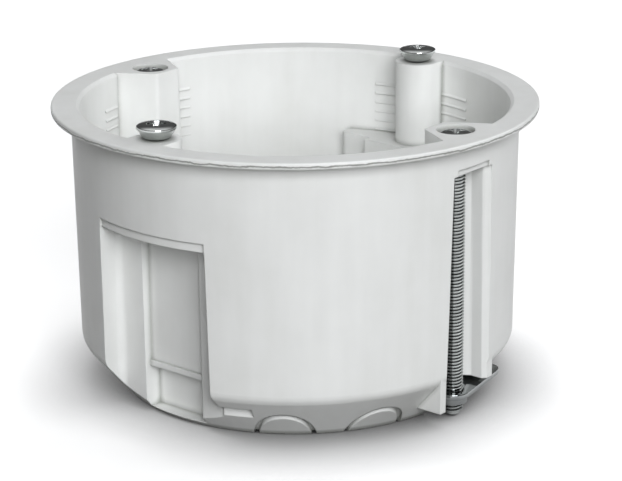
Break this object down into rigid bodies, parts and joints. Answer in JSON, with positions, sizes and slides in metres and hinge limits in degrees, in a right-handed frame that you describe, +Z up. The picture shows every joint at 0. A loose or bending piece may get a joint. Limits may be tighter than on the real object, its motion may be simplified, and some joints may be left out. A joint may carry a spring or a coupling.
{
  "type": "drywall back box",
  "caption": "Round plastic hollow-wall back box with a flange, swing-out clamping claws on long screws, device screws and stepped coupling recesses.",
  "frame": {"origin": "middle of the bottom of the box", "axes": "+Z up through the open mouth, X through the device screws, Y through the claw screws"},
  "size_m": [0.073, 0.073, 0.0458],
  "materials": {
    "box_plastic": "satin white moulding",
    "screw_steel": "bright zinc plate",
    "claw_steel": "zinc plated sheet"
  },
  "bodies": {
    "box": {"back_box": "box_plastic"},
    "front_screw": {"front_claw_screw": "screw_steel"},
    "rear_screw": {"rear_claw_screw": "screw_steel"},
    "front_claw_body": {"front_claw": "claw_steel"},
    "rear_claw_body": {"rear_claw": "claw_steel"},
    "left_fixing": {"left_device_screw": "screw_steel"},
    "right_fixing": {"right_device_screw": "screw_steel"}
  },
  "joints": [
    {"name": "front_screw_turn", "type": "hinge", "parent": "box", "child": "front_screw", "pos_m": [0, -0.03, 0.02], "axis": [0, 0, 1], "range_deg": [-115, 0]},
    {"name": "rear_screw_turn", "type": "hinge", "parent": "box", "child": "rear_screw", "pos_m": [0, 0.03, 0.02], "axis": [0, 0, 1], "range_deg": [-115, 0]},
    {"name": "front_claw_travel", "type": "slide", "parent": "front_screw", "child": "front_claw_body", "axis": [0, 0, 1], "range_m": [-0.0017, 0.0007]},
    {"name": "rear_claw_travel", "type": "slide", "parent": "rear_screw", "child": "rear_claw_body", "axis": [0, 0, 1], "range_m": [-0.0017, 0.0007]},
    {"name": "left_device_screw_travel", "type": "slide", "parent": "box", "child": "left_fixing", "axis": [0, 0, 1], "range_m": [-0.0001, 0.006]},
    {"name": "right_device_screw_travel", "type": "slide", "parent": "box", "child": "right_fixing", "axis": [0, 0, 1], "range_m": [-0.0001, 0.006]}
  ]
}
